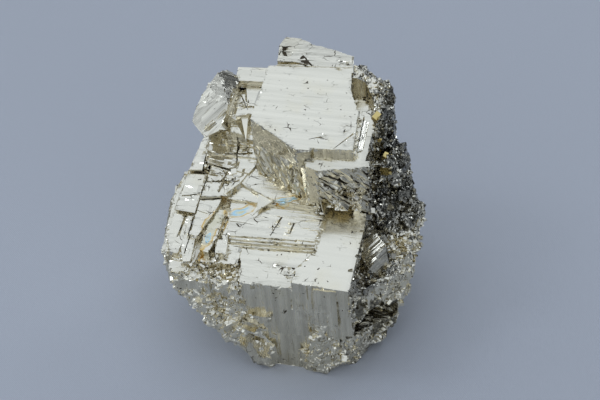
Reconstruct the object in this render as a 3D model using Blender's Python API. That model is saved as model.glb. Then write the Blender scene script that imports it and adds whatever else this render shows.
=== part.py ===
"""A hand specimen of pyrite: cube-habit crystals grown into one another on a broken, rough-sided mass.

Run with: blender --background --python part.py

Units are metres, +Z is up, and the origin is the middle of the footprint at the height of the resting face.
The specimen grew as one piece, so it is one object: plates and steps of crystal, all laid out in one lattice,
are joined to rough lumps of massive pyrite, and clefts and pits are cut from the whole.
"""

import math

import bmesh
import bpy
from mathutils import Euler, Matrix, Vector, noise
from mathutils.bvhtree import BVHTree

MM = 0.001

# The crystals share one lattice: u runs to the right, v to the back and w up through the bright cube faces.
LATTICE_ORIGIN = Vector((1.2, -23.2, 27.5))
LATTICE_TILT = Euler([math.radians(a) for a in (8.7, -2.1, -11.4)])

# Levels of the stepped cube faces, in millimetres along w, from the front edge's level.
LOWER_TREAD = -2.0
MIDDLE_TREAD = 0.0
UPPER_TREAD = 2.0
LEDGE = 13.2
CROWN = 16.4
SUMMIT = 16.6
ROOT = -31.0

# The broken surfaces: how far swells and blocks stand out in millimetres, and how many there are to one.
SWELL = 1.6
SWELL_RATE = 0.14
BLOCK = 1.1
BLOCK_RATE = 0.27

# Growth steps on the crystals at the back: their height, their share of a face, and their lean in degrees.
STEP_HEIGHT = 0.55
STEP_SHARE = 0.74
STEP_LEAN = 0.8

# A groove's cutter reaches this far above its floor, and facets this near to one plane, in degrees, are one.
GROOVE_REACH = 4.0
FLAT_WITHIN = 1.5

# Pits where small crystals have dropped out: place and size in world millimetres, and turn in degrees.
PITS = [
    ((10.6, -7.6, 37.2), (3.4, 3.0, 2.6), (20.0, 30.0, 10.0)),
    ((23.2, -8.6, 13.4), (2.6, 2.0, 1.1), (45.0, 20.0, 10.0)),
    ((23.4, 4.6, 34.2), (3.0, 1.8, 2.4), (15.0, 35.0, 25.0)),
    ((21.6, -3.4, 29.2), (2.6, 2.4, 1.5), (35.0, 15.0, 50.0)),
    ((-16.4, -20.4, 15.2), (2.8, 2.2, 1.4), (25.0, 40.0, 15.0)),
    ((3.4, 22.6, 21.4), (4.2, 3.4, 2.4), (30.0, 20.0, 40.0)),
]

# Small crystals that stand half out of the massive pyrite: place and size in world millimetres, and turn in
# degrees. Each is sunk a little towards the middle of the mass.
MASS_MIDDLE = (0.0, 0.0, 20.0)
STUD_SINK = 1.2
STUDS = [
    ((-14.4, -18.4, 22.6), (4.6, 4.4, 4.0), (9.0, 4.0, -18.0)),
    ((-17.8, -17.2, 20.4), (4.4, 4.0, 3.6), (-8.0, 14.0, 6.0)),
    ((-21.6, -14.6, 23.6), (5.0, 4.6, 3.4), (12.0, 6.0, -26.0)),
    ((-13.2, -18.2, 11.6), (4.6, 3.6, 4.4), (20.0, -24.0, 12.0)),
    ((-22.8, -9.4, 19.6), (4.4, 5.6, 5.0), (6.0, 24.0, -9.0)),
    ((19.4, 6.2, 38.6), (2.6, 2.8, 2.4), (24.0, 12.0, -30.0)),
    ((18.6, 9.4, 42.6), (2.2, 2.6, 2.2), (-14.0, 22.0, 12.0)),
    ((22.6, 2.2, 34.8), (2.6, 2.8, 2.4), (10.0, 28.0, -14.0)),
    ((24.6, -3.4, 27.0), (2.8, 2.8, 2.6), (-16.0, 20.0, -22.0)),
    ((20.4, 8.6, 13.6), (5.6, 6.0, 5.6), (16.0, 10.0, -34.0)),
    ((-15.6, 9.0, 9.0), (6.4, 5.6, 5.4), (-22.0, 14.0, 20.0)),
    ((-17.4, -8.0, 9.4), (5.6, 5.6, 5.0), (12.0, -30.0, 8.0)),
]

# Cracks on the crystal faces: from one (u, v) place to another, and the level of the crack's floor.
CRACKS = [
    ((-8.4, 11.6), (-7.0, 16.8), -1.3),
    ((-4.6, 12.6), (-4.2, 15.6), -1.1),
    ((-24.9, 4.6), (-24.2, 34.0), -2.2),
    ((-19.2, 3.6), (-18.4, 18.4), -1.4),
    ((-28.8, 19.8), (-24.4, 20.6), -1.2),
    ((-27.4, 9.0), (-26.9, 15.2), -1.6),
    ((-23.8, 22.6), (-18.4, 23.6), 1.0),
    ((-20.9, 20.0), (-20.4, 26.0), 1.1),
    ((-21.6, 29.6), (-15.8, 30.6), 1.6),
    ((-18.6, 26.4), (-19.4, 34.4), 1.5),
    ((-17.8, 37.6), (-20.0, 41.4), 8.0),
    ((3.6, 22.0), (6.9, 26.8), 15.6),
    ((-1.8, 24.0), (1.4, 25.4), 15.8),
]

PYRITE_COLOUR = (0.62, 0.60, 0.52, 1.0)
PYRITE_ROUGHNESS = 0.25


def lattice_to_world():
    """Matrix from lattice millimetres to world millimetres."""
    return Matrix.Translation(LATTICE_ORIGIN) @ LATTICE_TILT.to_matrix().to_4x4()


def new_collection(name, hidden=False):
    collection = bpy.data.collections.new(name)
    bpy.context.scene.collection.children.link(collection)
    collection.hide_render = hidden
    return collection


def finish_mesh(bm, name, collection, hidden=False):
    """Turns a bmesh in world millimetres into an object in metres."""
    bmesh.ops.recalc_face_normals(bm, faces=bm.faces)
    bmesh.ops.scale(bm, vec=(MM, MM, MM), verts=bm.verts)
    mesh = bpy.data.meshes.new(name)
    bm.to_mesh(mesh)
    bm.free()
    obj = bpy.data.objects.new(name, mesh)
    collection.objects.link(obj)
    if hidden:
        obj.hide_render = True
        obj.display_type = "WIRE"
    return obj


def plate(name, collection, outline, low, high, lean=(0.0, 0.0, 0.0), hidden=False):
    """A crystal plate: a flat outline of (u, v) corners in the lattice, drawn up from low to high along w.

    lean is a small turn in degrees about u, v and w, round the middle of its top face.
    """
    bm = bmesh.new()
    corners = [bm.verts.new((u, v, low)) for u, v in outline]
    floor = bmesh.ops.contextual_create(bm, geom=corners)["faces"]
    drawn = bmesh.ops.extrude_face_region(bm, geom=floor)["geom"]
    top = [g for g in drawn if isinstance(g, bmesh.types.BMVert)]
    bmesh.ops.translate(bm, vec=(0.0, 0.0, high - low), verts=top)
    middle = sum((v.co for v in top), Vector()) / len(top)
    turn = Euler([math.radians(a) for a in lean]).to_matrix()
    bmesh.ops.rotate(bm, cent=middle, matrix=turn, verts=bm.verts)
    bmesh.ops.transform(bm, matrix=lattice_to_world(), verts=bm.verts)
    return finish_mesh(bm, name, collection, hidden)


def cube(name, collection, centre, size, turn, hidden=False):
    """A crystal block of its own direction: centre and size in world millimetres, turn in degrees."""
    bm = bmesh.new()
    bmesh.ops.create_cube(bm, size=1.0)
    bmesh.ops.scale(bm, vec=size, verts=bm.verts)
    place = Matrix.Translation(centre) @ Euler([math.radians(a) for a in turn]).to_matrix().to_4x4()
    bmesh.ops.transform(bm, matrix=place, verts=bm.verts)
    return finish_mesh(bm, name, collection, hidden)


def stepped_cube(name, collection, centre, size, turn):
    """A crystal with low growth steps: the block, and three thinner blocks that stand out of its faces."""
    cube(name, collection, centre, size, turn)
    for axis in range(3):
        grown = [length * STEP_SHARE for length in size]
        grown[axis] = size[axis] + 2.0 * STEP_HEIGHT
        shift = Vector([0.08 * length for length in size])
        shift[axis] = 0.0
        shift = Euler([math.radians(a) for a in turn]).to_matrix() @ shift
        tilt = [angle + STEP_LEAN * (axis - 1) for angle in turn]
        cube(f"{name}_step_{axis}", collection, Vector(centre) + shift, grown, tilt)


def shard(name, collection, corners, place=Matrix()):
    """A crystal of its own shape: the sharp hull of its corners, which place carries to world millimetres."""
    bm = bmesh.new()
    for corner in corners:
        bm.verts.new(place @ Vector(corner))
    hull = bmesh.ops.convex_hull(bm, input=bm.verts)
    inside = [g for g in hull["geom_interior"] if isinstance(g, bmesh.types.BMVert)]
    bmesh.ops.delete(bm, geom=inside, context="VERTS")
    return finish_mesh(bm, name, collection)


def groove(name, cutters, start, end, floor, width=0.35):
    """A crack from one (u, v) place to another, cut from above down to the floor level."""
    along = Vector(end) - Vector(start)
    side = Vector((-along.y, along.x)).normalized() * width / 2.0
    thin = side * 0.3
    outline = [Vector(start) - thin, Vector(end) - side, Vector(end) + side, Vector(start) + thin]
    plate(name, cutters, outline, floor, floor + GROOVE_REACH, hidden=True)


def unevenness(place, seed):
    """How far massive pyrite stands out at a place: blocks in the lattice's directions on slow swells."""
    here = LATTICE_TILT.to_matrix().transposed() @ place + Vector((seed, 2.0 * seed, 3.0 * seed))
    swell = noise.noise(here * SWELL_RATE)
    blocks = noise.cell(here * BLOCK_RATE) - 0.5
    return SWELL * swell + BLOCK * blocks


def lump(name, collection, corners, middle, subdivisions=4, seed=0.0, roughness=1.0):
    """Massive pyrite with a broken surface: a ball drawn out to the hull of some corners, then made uneven.

    The corners and the middle are in world millimetres. Each point moves only along its own line from the
    middle, so the skin never folds into itself.
    """
    hull = bmesh.new()
    for corner in corners:
        hull.verts.new(corner)
    bmesh.ops.convex_hull(hull, input=hull.verts)
    skin = BVHTree.FromBMesh(hull)
    hull.free()
    bm = bmesh.new()
    bmesh.ops.create_icosphere(bm, subdivisions=subdivisions, radius=1.0)
    for vert in bm.verts:
        outward = vert.co.normalized()
        place = skin.ray_cast(Vector(middle), outward)[0]
        place += outward * unevenness(place, seed) * roughness
        vert.co = [round(c, 3) for c in place]
    return finish_mesh(bm, name, collection)


def front_terrace(crystals):
    """The stepped block at the front: its steep face, the right-hand crystal and the treads behind it."""
    plate("front_face", crystals,
          [(-12.6, 0.1), (9.9, 0.0), (10.0, 26.0), (-16.0, 26.0), (-15.2, 9.0), (-13.4, 5.5)],
          -17.0, LOWER_TREAD)
    plate("front_foot", crystals,
          [(-12.2, 0.3), (4.4, 0.2), (7.8, 4.4), (9.6, 13.0), (9.6, 25.0), (-15.0, 25.0), (-14.6, 8.0)],
          ROOT, -14.0)
    plate("front_step", crystals, [(2.4, -0.5), (7.3, -0.55), (7.2, 9.0), (2.3, 9.0)], -12.5, -1.2)
    plate("right_crystal", crystals,
          [(-1.8, -0.3), (9.9, -0.4), (10.2, 24.0), (2.2, 24.0), (1.2, 14.9), (1.1, 8.4), (-1.8, 3.2)],
          -9.0, -0.1, lean=(0.8, 4.0, 0.0))
    for index in range(3):
        back = 0.45 * index
        plate(f"riser_{index}", crystals,
              [(-15.9 - back, 9.0 + back), (1.5 + 0.3 * index, 9.7 + back), (2.4, 21.0),
               (-18.0, 21.0 + back)], -12.0 + index, LOWER_TREAD + 0.55 * (index + 1))
    plate("middle_tread", crystals,
          [(-17.1, 10.4), (1.8, 11.3), (3.0, 21.6), (-18.8, 22.4)],
          -8.0, MIDDLE_TREAD, lean=(0.3, 0.3, 0.0))
    plate("upper_tread", crystals,
          [(-16.9, 23.2), (-9.0, 19.1), (0.0, 18.7), (1.0, 26.0), (-12.0, 33.0), (-19.5, 31.0)],
          -10.0, UPPER_TREAD, lean=(-0.4, 0.2, 0.0))
    plate("wedge_tread", crystals,
          [(-19.0, 19.4), (-8.6, 18.9), (-7.5, 22.0), (-16.0, 26.0), (-19.8, 24.0)],
          -9.4, UPPER_TREAD - 1.0)
    shard("front_shelf", crystals,
          [(-10.6, -20.6, 15.2), (-7.2, -21.4, 14.2), (-4.6, -20.7, 15.6), (-6.2, -18.0, 16.6),
           (-10.4, -17.0, 16.4), (-8.2, -19.2, 10.4), (-5.4, -19.4, 12.2), (-11.0, -18.6, 11.2)])


def left_mosaic(crystals):
    """The blocky slope on the left: plates at slightly different levels, in strips that end in toes."""
    plate("mosaic_body", crystals,
          [(-29.6, 6.0), (-24.0, 4.0), (-14.0, 4.5), (-14.0, 30.0), (-19.0, 39.0), (-26.9, 36.9),
           (-30.0, 22.0)], -12.0, -1.6)
    plate("mosaic_back", crystals,
          [(-23.4, 35.2), (-22.3, 34.0), (-17.4, 33.2), (-14.3, 28.6), (-15.6, 25.4), (-24.7, 27.4)],
          -6.0, 2.7, lean=(0.5, -0.4, 0.0))
    plate("mosaic_middle", crystals,
          [(-24.0, 27.2), (-18.6, 26.0), (-18.9, 19.4), (-24.3, 18.2)], -6.0, 2.1, lean=(-0.3, 0.5, 0.0))
    plate("mosaic_inner", crystals, [(-18.8, 26.4), (-15.8, 25.8), (-17.0, 22.6), (-19.2, 19.6)], -6.0, 2.4)
    plate("mosaic_front", crystals,
          [(-24.4, 18.0), (-20.1, 18.9), (-20.7, 15.0), (-22.9, 8.4), (-25.2, 9.0)],
          -6.0, 1.2, lean=(0.0, -0.8, 0.0))
    plate("strip_back", crystals,
          [(-27.8, 36.1), (-26.3, 35.9), (-25.9, 26.6), (-28.7, 26.4)], -6.0, 0.9, lean=(0.0, -1.0, 0.0))
    plate("strip_middle", crystals,
          [(-28.9, 26.1), (-24.7, 26.3), (-25.1, 15.5), (-29.6, 15.9)], -6.0, 0.1, lean=(0.4, -0.8, 0.0))
    plate("strip_front", crystals,
          [(-29.5, 15.3), (-25.4, 15.0), (-26.4, 4.8), (-28.2, 5.0), (-29.4, 8.4)],
          -7.0, -0.5, lean=(0.0, -0.6, 0.0))
    plate("strip_edge", crystals,
          [(-30.9, 22.0), (-29.2, 22.6), (-28.9, 5.4), (-30.4, 7.0)], -9.0, -1.9, lean=(0.0, -2.0, 0.0))
    shard("sliver", crystals,
          [(-26.2, 35.8, 0.9), (-25.8, 27.2, 0.6), (-24.5, 26.9, 2.0), (-23.2, 35.4, 2.8),
           (-23.0, 35.4, -4.0), (-26.2, 35.8, -4.0), (-25.8, 27.2, -4.0), (-24.3, 26.9, -4.0)],
          lattice_to_world())
    plate("toe_left", crystals,
          [(-26.2, 12.4), (-23.6, 12.2), (-23.2, 2.7), (-24.7, 2.5), (-25.9, 6.0)],
          -8.0, 0.0, lean=(0.6, 0.4, 0.0))
    plate("toe_ramp", crystals,
          [(-23.6, 12.6), (-21.1, 15.8), (-21.3, 8.6), (-22.4, 2.8), (-23.6, 2.4)],
          -8.0, -0.3, lean=(0.0, -16.0, 0.0))
    plate("toe_stained", crystals,
          [(-21.9, 5.3), (-19.8, 4.9), (-18.8, 9.8), (-18.5, 16.8), (-21.0, 16.6), (-22.0, 9.0)],
          -8.0, 0.5, lean=(-0.5, 0.6, 0.0))
    plate("toe_right", crystals,
          [(-19.3, 8.9), (-16.7, 9.3), (-16.3, 5.8), (-18.7, 5.4)], -8.0, 0.1, lean=(1.0, 1.5, 0.0))


def left_stair(crystals):
    """The narrow flight of steps that climbs between the small tilted crystal and the crown."""
    plate("tilted_root", crystals, [(-25.9, 40.0), (-21.4, 40.0), (-21.8, 34.8), (-25.7, 35.3)], -8.0, 3.0)
    plate("stair_body", crystals, [(-22.6, 48.0), (-13.0, 49.0), (-13.0, 32.0), (-21.8, 33.4)], -4.0, 5.2)
    plate("stair_low", crystals, [(-21.2, 36.9), (-17.4, 37.2), (-17.2, 32.0), (-20.7, 32.7)], 2.0, 7.0)
    plate("stair_middle", crystals,
          [(-22.8, 43.6), (-14.0, 44.5), (-14.0, 36.0), (-17.4, 36.6), (-22.0, 34.9)],
          2.0, 8.8, lean=(0.5, 0.0, 0.0))
    plate("stair_block", crystals, [(-19.4, 43.9), (-14.0, 44.5), (-14.0, 38.0), (-18.0, 38.4)], 4.0, 9.3)
    plate("stair_high", crystals, [(-21.8, 47.4), (-13.0, 48.2), (-13.0, 43.9), (-21.6, 43.3)], 2.0, 11.2)


def crown(crystals):
    """The large upper crystal: its bright top, its cut-off corner, the ledge round it, its stepped back."""
    in_lattice = lattice_to_world()
    plate("crown", crystals,
          [(-14.7, 28.0), (-3.9, 20.8), (-0.95, 20.93), (-0.43, 21.63), (7.6, 22.2), (7.0, 32.2),
           (4.7, 38.5), (3.4, 46.2), (-2.0, 45.6), (-8.0, 44.4), (-14.0, 43.5)],
          -3.1, CROWN, lean=(0.1, 0.35, 0.0))
    plate("ledge", crystals,
          [(-2.8, 21.8), (-1.7, 19.2), (1.0, 18.3), (7.8, 19.9), (10.9, 20.8), (10.2, 30.3), (8.4, 35.2),
           (0.0, 40.0)], 2.3, LEDGE, lean=(-0.8, 1.0, 0.0))
    plate("ledge_rib", crystals, [(6.6, 22.7), (8.0, 22.8), (7.8, 34.0), (6.4, 34.5)], 8.0, LEDGE + 1.5)
    shard("ledge_foot", crystals,
          [(7.4, 19.4, 4.9), (9.3, 19.6, 5.8), (10.4, 20.3, 6.0), (10.5, 20.2, 2.0), (9.2, 19.3, 0.3),
           (7.3, 19.0, 1.9), (7.4, 19.3, -3.0), (10.4, 20.3, -3.0), (7.4, 26.0, -3.0), (10.4, 26.0, -3.0),
           (7.4, 26.0, 6.0), (10.4, 26.0, 6.0)], in_lattice)
    shard("olive_block", crystals,
          [(3.2, 18.9, 6.5), (7.7, 19.3, 5.7), (6.5, 18.2, 2.2), (3.9, 18.0, 2.4), (3.2, 25.0, 6.7),
           (7.7, 25.0, 5.9), (6.5, 25.0, 2.2), (3.9, 25.0, 2.4)], in_lattice)
    shard("apron_left", crystals,
          [(-14.6, 27.9, 9.6), (-9.2, 24.3, 10.6), (-3.8, 20.8, 11.4), (-13.7, 26.4, 1.0), (-7.6, 22.9, 1.0),
           (-1.8, 20.6, 1.0), (-13.0, 31.0, 1.0), (-1.8, 27.0, 1.0), (-1.8, 27.0, 11.0),
           (-12.0, 31.0, 10.0)], in_lattice)
    shard("apron_right", crystals,
          [(-3.5, 21.0, 11.0), (-1.6, 19.3, 12.6), (1.4, 18.5, 12.4), (3.3, 19.1, 7.0), (3.4, 18.8, 2.4),
           (0.8, 18.3, 1.6), (-2.4, 20.5, 1.0), (-2.0, 26.0, 1.0), (3.4, 26.0, 2.4), (3.4, 26.0, 12.4),
           (-2.0, 26.0, 12.4)], in_lattice)
    plate("summit", crystals,
          [(-12.3, 43.6), (3.4, 45.0), (3.5, 46.6), (2.7, 48.4), (-1.7, 49.8), (-5.5, 50.6), (-8.7, 51.9),
           (-12.0, 52.0), (-12.9, 49.4)], -9.0, SUMMIT, lean=(0.3, 1.0, 0.0))
    plate("spine_middle", crystals,
          [(-9.5, 44.0), (-9.3, 51.5), (-3.5, 50.1), (-3.0, 44.0)], -7.0, 9.4, lean=(0.8, 0.0, 0.0))
    plate("spine_right", crystals,
          [(-4.5, 42.0), (-4.2, 49.8), (4.1, 48.1), (4.4, 42.0)], -12.0, 3.2, lean=(-0.6, 0.0, 1.0))
    plate("spine_left", crystals,
          [(-13.1, 41.0), (-12.8, 49.1), (-8.0, 49.6), (-8.0, 41.0)], -10.5, 1.4, lean=(1.2, 0.0, -1.0))


def notch_crystal(regrown):
    """The small striated crystal that stands in the notch, grown after the notch was open."""
    shard("notch_crystal", regrown,
          [(12.8, -10.7, 25.4), (15.5, -8.2, 27.7), (17.1, -9.5, 28.1), (18.6, -12.1, 27.9),
           (15.2, -16.0, 24.6), (14.0, -8.0, 17.0), (19.0, -6.5, 18.0), (20.0, -12.0, 18.0),
           (16.0, -15.2, 17.0)])


def small_crystals(crystals):
    """Crystals that grew in directions of their own."""
    shard("tilted_crystal", crystals,
          [(-15.9, 20.8, 47.1), (-14.1, 23.8, 45.6), (-10.8, 22.8, 44.0), (-12.9, 17.8, 44.9),
           (-17.7, 16.8, 46.7), (-19.1, 14.8, 45.7), (-20.5, 11.8, 44.1), (-21.1, 9.8, 42.7),
           (-19.1, 10.6, 43.3), (-15.8, 13.4, 45.2), (-13.6, 12.9, 44.6), (-13.9, 11.5, 43.5),
           (-15.5, 8.4, 41.2), (-18.4, 7.1, 40.4), (-19.2, 8.2, 41.4), (-12.0, 21.5, 33.0),
           (-17.5, 20.0, 36.0), (-18.6, 13.0, 36.0), (-15.4, 12.5, 37.5)])
    shard("ridge_facet", crystals,
          [(17.2, 16.4, 47.6), (20.6, 18.0, 46.2), (20.9, 13.4, 41.6), (18.0, 11.6, 43.2),
           (15.4, 13.0, 44.6), (14.0, 18.0, 38.0), (19.0, 20.0, 40.0), (17.0, 11.0, 36.0)])
    stepped_cube("back_cube", crystals, (-6.5, 18.5, 18.0), (17.0, 12.0, 16.0), (7.0, -4.0, -11.0))
    stepped_cube("back_step", crystals, (-11.0, 15.5, 29.5), (12.0, 12.0, 12.0), (9.5, -2.6, -10.6))
    stepped_cube("back_corner", crystals, (12.0, 17.0, 11.0), (12.0, 11.0, 12.0), (-12.0, 10.0, 31.0))
    stepped_cube("back_low", crystals, (2.5, 20.6, 6.5), (7.0, 6.0, 6.5), (21.0, 17.0, -24.0))
    stepped_cube("left_cube", crystals, (-20.6, 6.0, 22.0), (9.0, 12.0, 9.0), (8.7, 12.0, -17.0))
    stepped_cube("left_low", crystals, (-20.6, -3.0, 17.0), (7.0, 7.5, 7.0), (-14.0, 22.0, 8.0))
    stepped_cube("side_cube", crystals, (17.6, 15.0, 26.5), (10.0, 9.0, 9.0), (12.0, -16.0, 24.0))


def studs(crystals):
    """The small crystals on the rough sides, each sunk towards the middle of the mass."""
    for index, (place, size, turn) in enumerate(STUDS):
        outward = (Vector(place) - Vector(MASS_MIDDLE)).normalized()
        cube(f"stud_{index}", crystals, Vector(place) - outward * STUD_SINK, size, turn)


def core(specimen):
    """The middle of the specimen, which everything else is joined to, in world millimetres."""
    lump("pyrite", specimen,
         [(-9.0, -14.0, -1.0), (-2.0, -17.0, -1.0), (9.0, -15.0, -1.0), (15.5, -9.0, -1.0),
          (16.0, 7.0, -1.0), (8.0, 16.0, -1.0), (-8.0, 15.0, -1.0), (-13.0, 5.0, -0.6), (-24.0, 13.0, 18.0),
          (-24.5, -6.0, 21.0), (-18.0, 13.0, 31.0), (20.0, 19.0, 18.0), (19.0, -2.0, 24.0),
          (13.0, 22.0, 32.0), (-8.0, 22.0, 26.0), (4.0, 22.5, 12.0), (-4.0, 4.0, 30.0),
          (-20.0, -12.0, 14.0), (18.0, 0.0, 3.0)], middle=(0.0, 0.5, 13.0), subdivisions=5, seed=1.0)


def rough_mass(lumps):
    """The massive pyrite round the core that carries the crystals, in world millimetres."""
    lump("lower_left", lumps,
         [(-26.2, -15.0, 26.0), (-26.0, -16.0, 23.5), (-24.0, -17.0, 18.6), (-20.6, -17.4, 15.0),
          (-18.4, -18.2, 13.4), (-13.2, -19.4, 7.2), (-8.2, -20.2, 3.0), (-3.6, -20.6, 0.6),
          (-11.6, -20.8, 24.0), (-18.0, -16.5, 25.0), (-4.5, -17.0, -1.5), (-12.0, -6.0, 2.0),
          (-23.0, -4.0, 24.0), (-6.0, -4.0, 24.0), (-4.0, -6.0, 2.0)],
         middle=(-12.5, -12.5, 15.0), seed=4.0, roughness=0.7)
    lump("right_upper", lumps,
         [(11.6, 18.6, 49.8), (13.2, 22.6, 48.6), (21.0, 20.6, 44.4), (20.9, 16.6, 40.9),
          (20.3, 12.8, 37.6), (20.0, 10.0, 33.0), (14.6, 3.4, 44.4), (15.0, -2.0, 36.0), (13.4, 23.0, 28.0),
          (20.6, 20.0, 28.0), (5.0, 8.0, 28.0), (13.6, 12.0, 48.0), (2.0, 20.0, 44.0)],
         middle=(12.5, 13.0, 38.0), seed=7.0, roughness=0.8)
    lump("right_middle", lumps,
         [(20.4, 9.6, 36.4), (22.6, 8.8, 36.6), (25.2, 3.6, 32.6), (26.9, 0.8, 29.2), (26.2, -3.0, 23.8),
          (26.4, -6.0, 22.2), (24.2, -8.6, 18.2), (13.8, 0.0, 37.0), (13.0, -4.0, 33.0), (15.0, -9.0, 18.0),
          (8.0, 10.0, 18.0), (24.4, 12.0, 20.0), (22.4, 15.0, 33.0), (20.0, -6.5, 25.5), (8.0, 4.0, 32.0)],
         middle=(16.5, 3.0, 27.0), seed=11.0, roughness=0.9)
    lump("right_slab", lumps,
         [(11.0, -21.6, 23.2), (26.2, -6.6, 22.2), (24.4, -9.4, 17.4), (22.6, -10.2, 11.4),
          (21.4, -11.0, 6.0), (18.6, -11.8, 0.5), (13.5, -17.0, -0.5), (6.2, -20.2, 0.2), (3.0, -22.6, 6.5),
          (3.6, -23.2, 14.5), (8.0, -22.9, 19.0), (18.0, 2.0, 20.0), (4.0, -6.0, 20.0), (6.0, 2.0, 0.0),
          (18.0, 0.0, 2.0)], middle=(12.5, -10.0, 11.0), seed=15.0, roughness=0.5)
    lump("toe_lump", lumps,
         [(1.0, -21.8, 7.0), (4.0, -23.0, 5.2), (9.5, -21.4, 4.4), (15.0, -17.4, 4.0), (20.0, -11.8, 4.4),
          (4.6, -21.0, -0.5), (1.0, -18.0, -0.5), (12.0, -16.0, -0.5), (8.0, -8.0, 0.0), (6.0, -8.0, 8.0)],
         middle=(8.5, -14.5, 3.2), seed=19.0, roughness=0.5)


def clefts(cutters):
    """What is cut away: the slot low on the right, the notch by the right-hand crystal, pits and cracks."""
    cube("slot", cutters, (14.6, -18.1, 11.2), (11.5, 9.0, 3.2), (6.0, -9.0, 40.0), hidden=True)
    cube("slot_throat", cutters, (18.2, -13.2, 10.4), (7.0, 8.0, 4.0), (14.0, -4.0, 52.0), hidden=True)
    plate("notch", cutters, [(10.7, 1.6), (12.8, 4.4), (14.0, 13.0), (10.9, 18.6)], -8.0, 8.0, hidden=True)
    plate("crown_crevice", cutters,
          [(6.5, 33.4), (9.4, 34.2), (8.8, 39.5), (6.2, 44.0), (3.5, 43.6), (4.4, 38.5)],
          8.5, 20.0, hidden=True)
    plate("ledge_crevice", cutters,
          [(10.3, 22.5), (12.2, 23.0), (13.2, 30.0), (11.8, 36.0), (9.9, 35.6), (10.2, 29.5)],
          0.5, 16.0, lean=(0.0, 5.0, 0.0), hidden=True)
    plate("undercut", cutters, [(1.2, 16.0), (6.6, 16.4), (6.5, 22.6), (1.6, 22.2)], 0.5, 2.3, hidden=True)
    plate("crown_cleft", cutters,
          [(-15.2, 43.3), (-9.0, 44.2), (-5.6, 44.7), (-9.0, 45.0), (-15.2, 44.5)], 13.6, 20.0, hidden=True)
    cube("hatch_pit", cutters, (10.1, -6.4, 37.0), (1.9, 1.6, 1.7), (20.0, 30.0, 40.0), hidden=True)
    plate("pit_front", cutters,
          [(10.2, -2.0), (12.0, -1.0), (11.0, 3.4), (9.6, 3.0)], -6.5, -0.8, hidden=True)
    for index, (place, size, turn) in enumerate(PITS):
        cube(f"pit_{index}", cutters, place, size, turn, hidden=True)
    for index, (start, end, floor) in enumerate(CRACKS):
        groove(f"crack_{index}", cutters, start, end, floor)


def ground(cutters):
    """The broken underside is worn to one flat face, which the specimen rests on."""
    cube("ground", cutters, (0.0, 0.0, -20.0), (120.0, 120.0, 40.0), (0.0, 0.0, 0.0), hidden=True)


def combine(obj, name, operands, operation):
    """Joins or cuts a whole collection of shapes on obj with a Boolean."""
    modifier = obj.modifiers.new(name, "BOOLEAN")
    modifier.operand_type = "COLLECTION"
    modifier.collection = operands
    modifier.operation = operation
    modifier.solver = "EXACT"


def islands(bm):
    """The connected groups of faces, largest first."""
    groups = []
    waiting = set(bm.faces)
    while waiting:
        front = [waiting.pop()]
        group = []
        while front:
            face = front.pop()
            group.append(face)
            near = {other for edge in face.edges for other in edge.link_faces} & waiting
            waiting -= near
            front.extend(near)
        groups.append(group)
    return sorted(groups, key=len, reverse=True)


def settle(obj):
    """Applies the Booleans, fills sealed pockets, and rests the mesh at height 0 under its box's middle."""
    graph = bpy.context.evaluated_depsgraph_get()
    mesh = bpy.data.meshes.new_from_object(obj.evaluated_get(graph))
    obj.modifiers.clear()
    obj.data = mesh
    mesh.name = obj.name
    bm = bmesh.new()
    bm.from_mesh(mesh)
    for pocket in islands(bm)[1:]:
        bmesh.ops.delete(bm, geom=pocket, context="FACES")
    bmesh.ops.dissolve_limit(bm, angle_limit=math.radians(FLAT_WITHIN), verts=bm.verts, edges=bm.edges)
    bmesh.ops.triangulate(bm, faces=bm.faces)
    low, high = [Vector([end(v.co[axis] for v in bm.verts) for axis in range(3)]) for end in (min, max)]
    middle = (low + high) / 2
    bmesh.ops.translate(bm, vec=(-middle.x, -middle.y, -low.z), verts=bm.verts)
    bm.to_mesh(mesh)
    bm.free()


def pyrite_material():
    material = bpy.data.materials.new("pyrite")
    material.use_nodes = True
    shader = material.node_tree.nodes["Principled BSDF"]
    shader.inputs["Base Color"].default_value = PYRITE_COLOUR
    shader.inputs["Metallic"].default_value = 1.0
    shader.inputs["Roughness"].default_value = PYRITE_ROUGHNESS
    return material


def main():
    for obj in list(bpy.data.objects):
        bpy.data.objects.remove(obj)
    specimen = new_collection("pyrite_specimen")
    crystals = new_collection("crystals", hidden=True)
    lumps = new_collection("lumps", hidden=True)
    cutters = new_collection("cutters", hidden=True)
    regrown = new_collection("regrown", hidden=True)
    core(specimen)
    rough_mass(lumps)
    front_terrace(crystals)
    left_mosaic(crystals)
    left_stair(crystals)
    crown(crystals)
    small_crystals(crystals)
    studs(crystals)
    clefts(cutters)
    ground(cutters)
    notch_crystal(regrown)
    pyrite = specimen.objects["pyrite"]
    combine(pyrite, "massive", lumps, "UNION")
    combine(pyrite, "crystals", crystals, "UNION")
    combine(pyrite, "clefts", cutters, "DIFFERENCE")
    combine(pyrite, "regrown", regrown, "UNION")
    settle(pyrite)
    pyrite.data.materials.clear()
    pyrite.data.materials.append(pyrite_material())


main()
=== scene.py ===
"""Dresses the pyrite specimen: striated crystal faces, the broken mass between them and its small crystals.

Lengths inside the shape functions are millimetres in the specimen's own frame, and pieces are finished in
metres. The crystal lattice has u to the right, v to the back and w up through the bright cube faces.
"""

import math
import random
from typing import NamedTuple

import bmesh
import bpy
from bpy.props import FloatProperty, FloatVectorProperty, IntProperty, PointerProperty
from mathutils import Euler, Matrix, Vector, noise
from mathutils.bvhtree import BVHTree


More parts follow.
